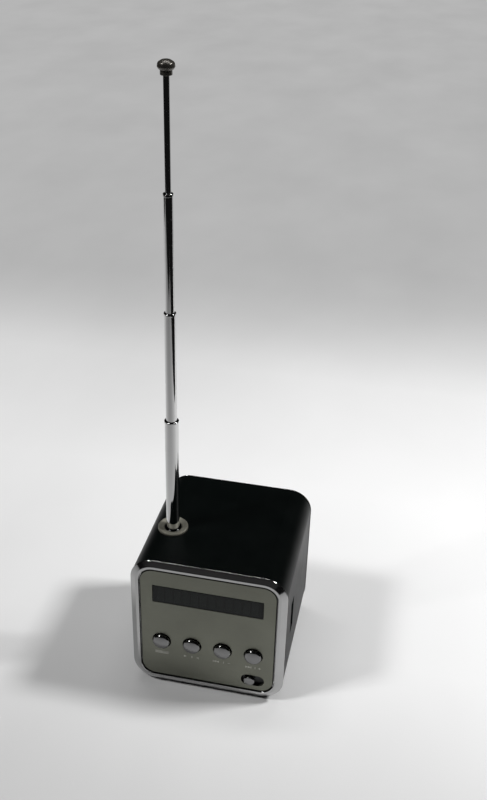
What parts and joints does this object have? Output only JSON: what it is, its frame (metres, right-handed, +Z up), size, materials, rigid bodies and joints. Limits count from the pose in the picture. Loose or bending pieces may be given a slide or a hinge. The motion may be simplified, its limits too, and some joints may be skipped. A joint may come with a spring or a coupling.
{
  "type": "pocket cube radio speaker",
  "caption": "Palm-sized cube radio with a built-in loudspeaker, a display, domed push buttons, a slide switch and a telescopic aerial.",
  "frame": {"origin": "middle of the case on the surface that the feet stand on", "axes": "+X to the right as seen from the front, +Y from the display to the loudspeaker, +Z up along the aerial"},
  "size_m": [0.052, 0.0524, 0.2038],
  "materials": {
    "black_aluminium": "black anodised, satin",
    "chrome": "polished chrome plate",
    "satin_metal": "grey satin, faintly brushed",
    "smoked_window": "smoked, glossy",
    "black_plastic": "black, fine matt grain",
    "white_plastic": "white, smooth",
    "circuit_board": "green lacquer",
    "steel": "plated, bright",
    "brass": "bare, slightly dull",
    "magnet": "dark grey ferrite, matt",
    "paper": "black pressed paper",
    "rubber": "black, matt",
    "copper": "enamelled copper wire",
    "cell_wrap": "blue shrink wrap"
  },
  "bodies": {
    "case": {"body_shell": "black_aluminium", "front_bezel": "chrome", "rear_bezel": "chrome", "aerial_outer_tube": "chrome", "aerial_rosette": "chrome", "front_panel": "satin_metal", "rear_grille": "satin_metal", "display_window": "smoked_window", "display_module": "black_plastic", "front_frame": "black_plastic", "tact_switch_1": "black_plastic", "tact_switch_2": "black_plastic", "tact_switch_3": "black_plastic", "tact_switch_4": "black_plastic", "board_connector": "black_plastic", "audio_socket": "black_plastic", "aerial_foot": "black_plastic", "battery_holder": "black_plastic", "battery_door": "black_plastic", "usb_tongue": "white_plastic", "front_board": "circuit_board", "main_board": "circuit_board", "front_bezel_screw_1": "steel", "front_bezel_screw_2": "steel", "rear_bezel_screw_1": "steel", "rear_bezel_screw_2": "steel", "board_screw_1": "steel", "board_screw_2": "steel", "power_switch_body": "steel", "usb_shell": "steel", "card_socket": "steel", "charge_socket": "steel", "battery_door_screw": "steel", "speaker_yoke": "steel", "speaker_top_plate": "steel", "speaker_basket": "steel", "aerial_nut": "brass", "aerial_contact": "brass", "speaker_magnet": "magnet", "speaker_gasket": "rubber", "foot_1": "rubber", "foot_2": "rubber", "foot_3": "rubber", "foot_4": "rubber", "battery_cell": "cell_wrap"},
    "button_1": {"button_1": "chrome"},
    "button_2": {"button_2": "chrome"},
    "button_3": {"button_3": "chrome"},
    "button_4": {"button_4": "chrome"},
    "power_switch": {"power_switch_knob": "chrome", "power_switch_slider": "black_plastic"},
    "speaker_cone": {"speaker_cone": "paper", "speaker_dust_cap": "paper", "speaker_coil": "copper", "speaker_surround": "rubber"},
    "aerial_stage_1": {"aerial_tube_1": "chrome"},
    "aerial_stage_2": {"aerial_tube_2": "chrome"},
    "aerial_stage_3": {"aerial_tube_3": "chrome"},
    "aerial_tip": {"aerial_rod": "chrome", "aerial_knob": "chrome"}
  },
  "joints": [
    {"name": "button_1_press", "type": "slide", "parent": "case", "child": "button_1", "axis": [0, 1, 0], "range_m": [0, 0.0005], "stiffness_N_per_m": 400},
    {"name": "button_2_press", "type": "slide", "parent": "case", "child": "button_2", "axis": [0, 1, 0], "range_m": [0, 0.0005], "stiffness_N_per_m": 400},
    {"name": "button_3_press", "type": "slide", "parent": "case", "child": "button_3", "axis": [0, 1, 0], "range_m": [0, 0.0005], "stiffness_N_per_m": 400},
    {"name": "button_4_press", "type": "slide", "parent": "case", "child": "button_4", "axis": [0, 1, 0], "range_m": [0, 0.0005], "stiffness_N_per_m": 400},
    {"name": "power_switch_slide", "type": "slide", "parent": "case", "child": "power_switch", "axis": [1, 0, 0], "range_m": [0, 0.0021]},
    {"name": "speaker_cone_stroke", "type": "slide", "parent": "case", "child": "speaker_cone", "axis": [0, 1, 0], "range_m": [-0.0006, 0.0006], "stiffness_N_per_m": 300},
    {"name": "aerial_stage_1_slide", "type": "slide", "parent": "case", "child": "aerial_stage_1", "axis": [0, 0, 1], "range_m": [-0.0406, 0]},
    {"name": "aerial_stage_2_slide", "type": "slide", "parent": "aerial_stage_1", "child": "aerial_stage_2", "axis": [0, 0, 1], "range_m": [-0.036, 0]},
    {"name": "aerial_stage_3_slide", "type": "slide", "parent": "aerial_stage_2", "child": "aerial_stage_3", "axis": [0, 0, 1], "range_m": [-0.0351, 0]},
    {"name": "aerial_tip_slide", "type": "slide", "parent": "aerial_stage_3", "child": "aerial_tip", "axis": [0, 0, 1], "range_m": [-0.0312, 0]}
  ]
}
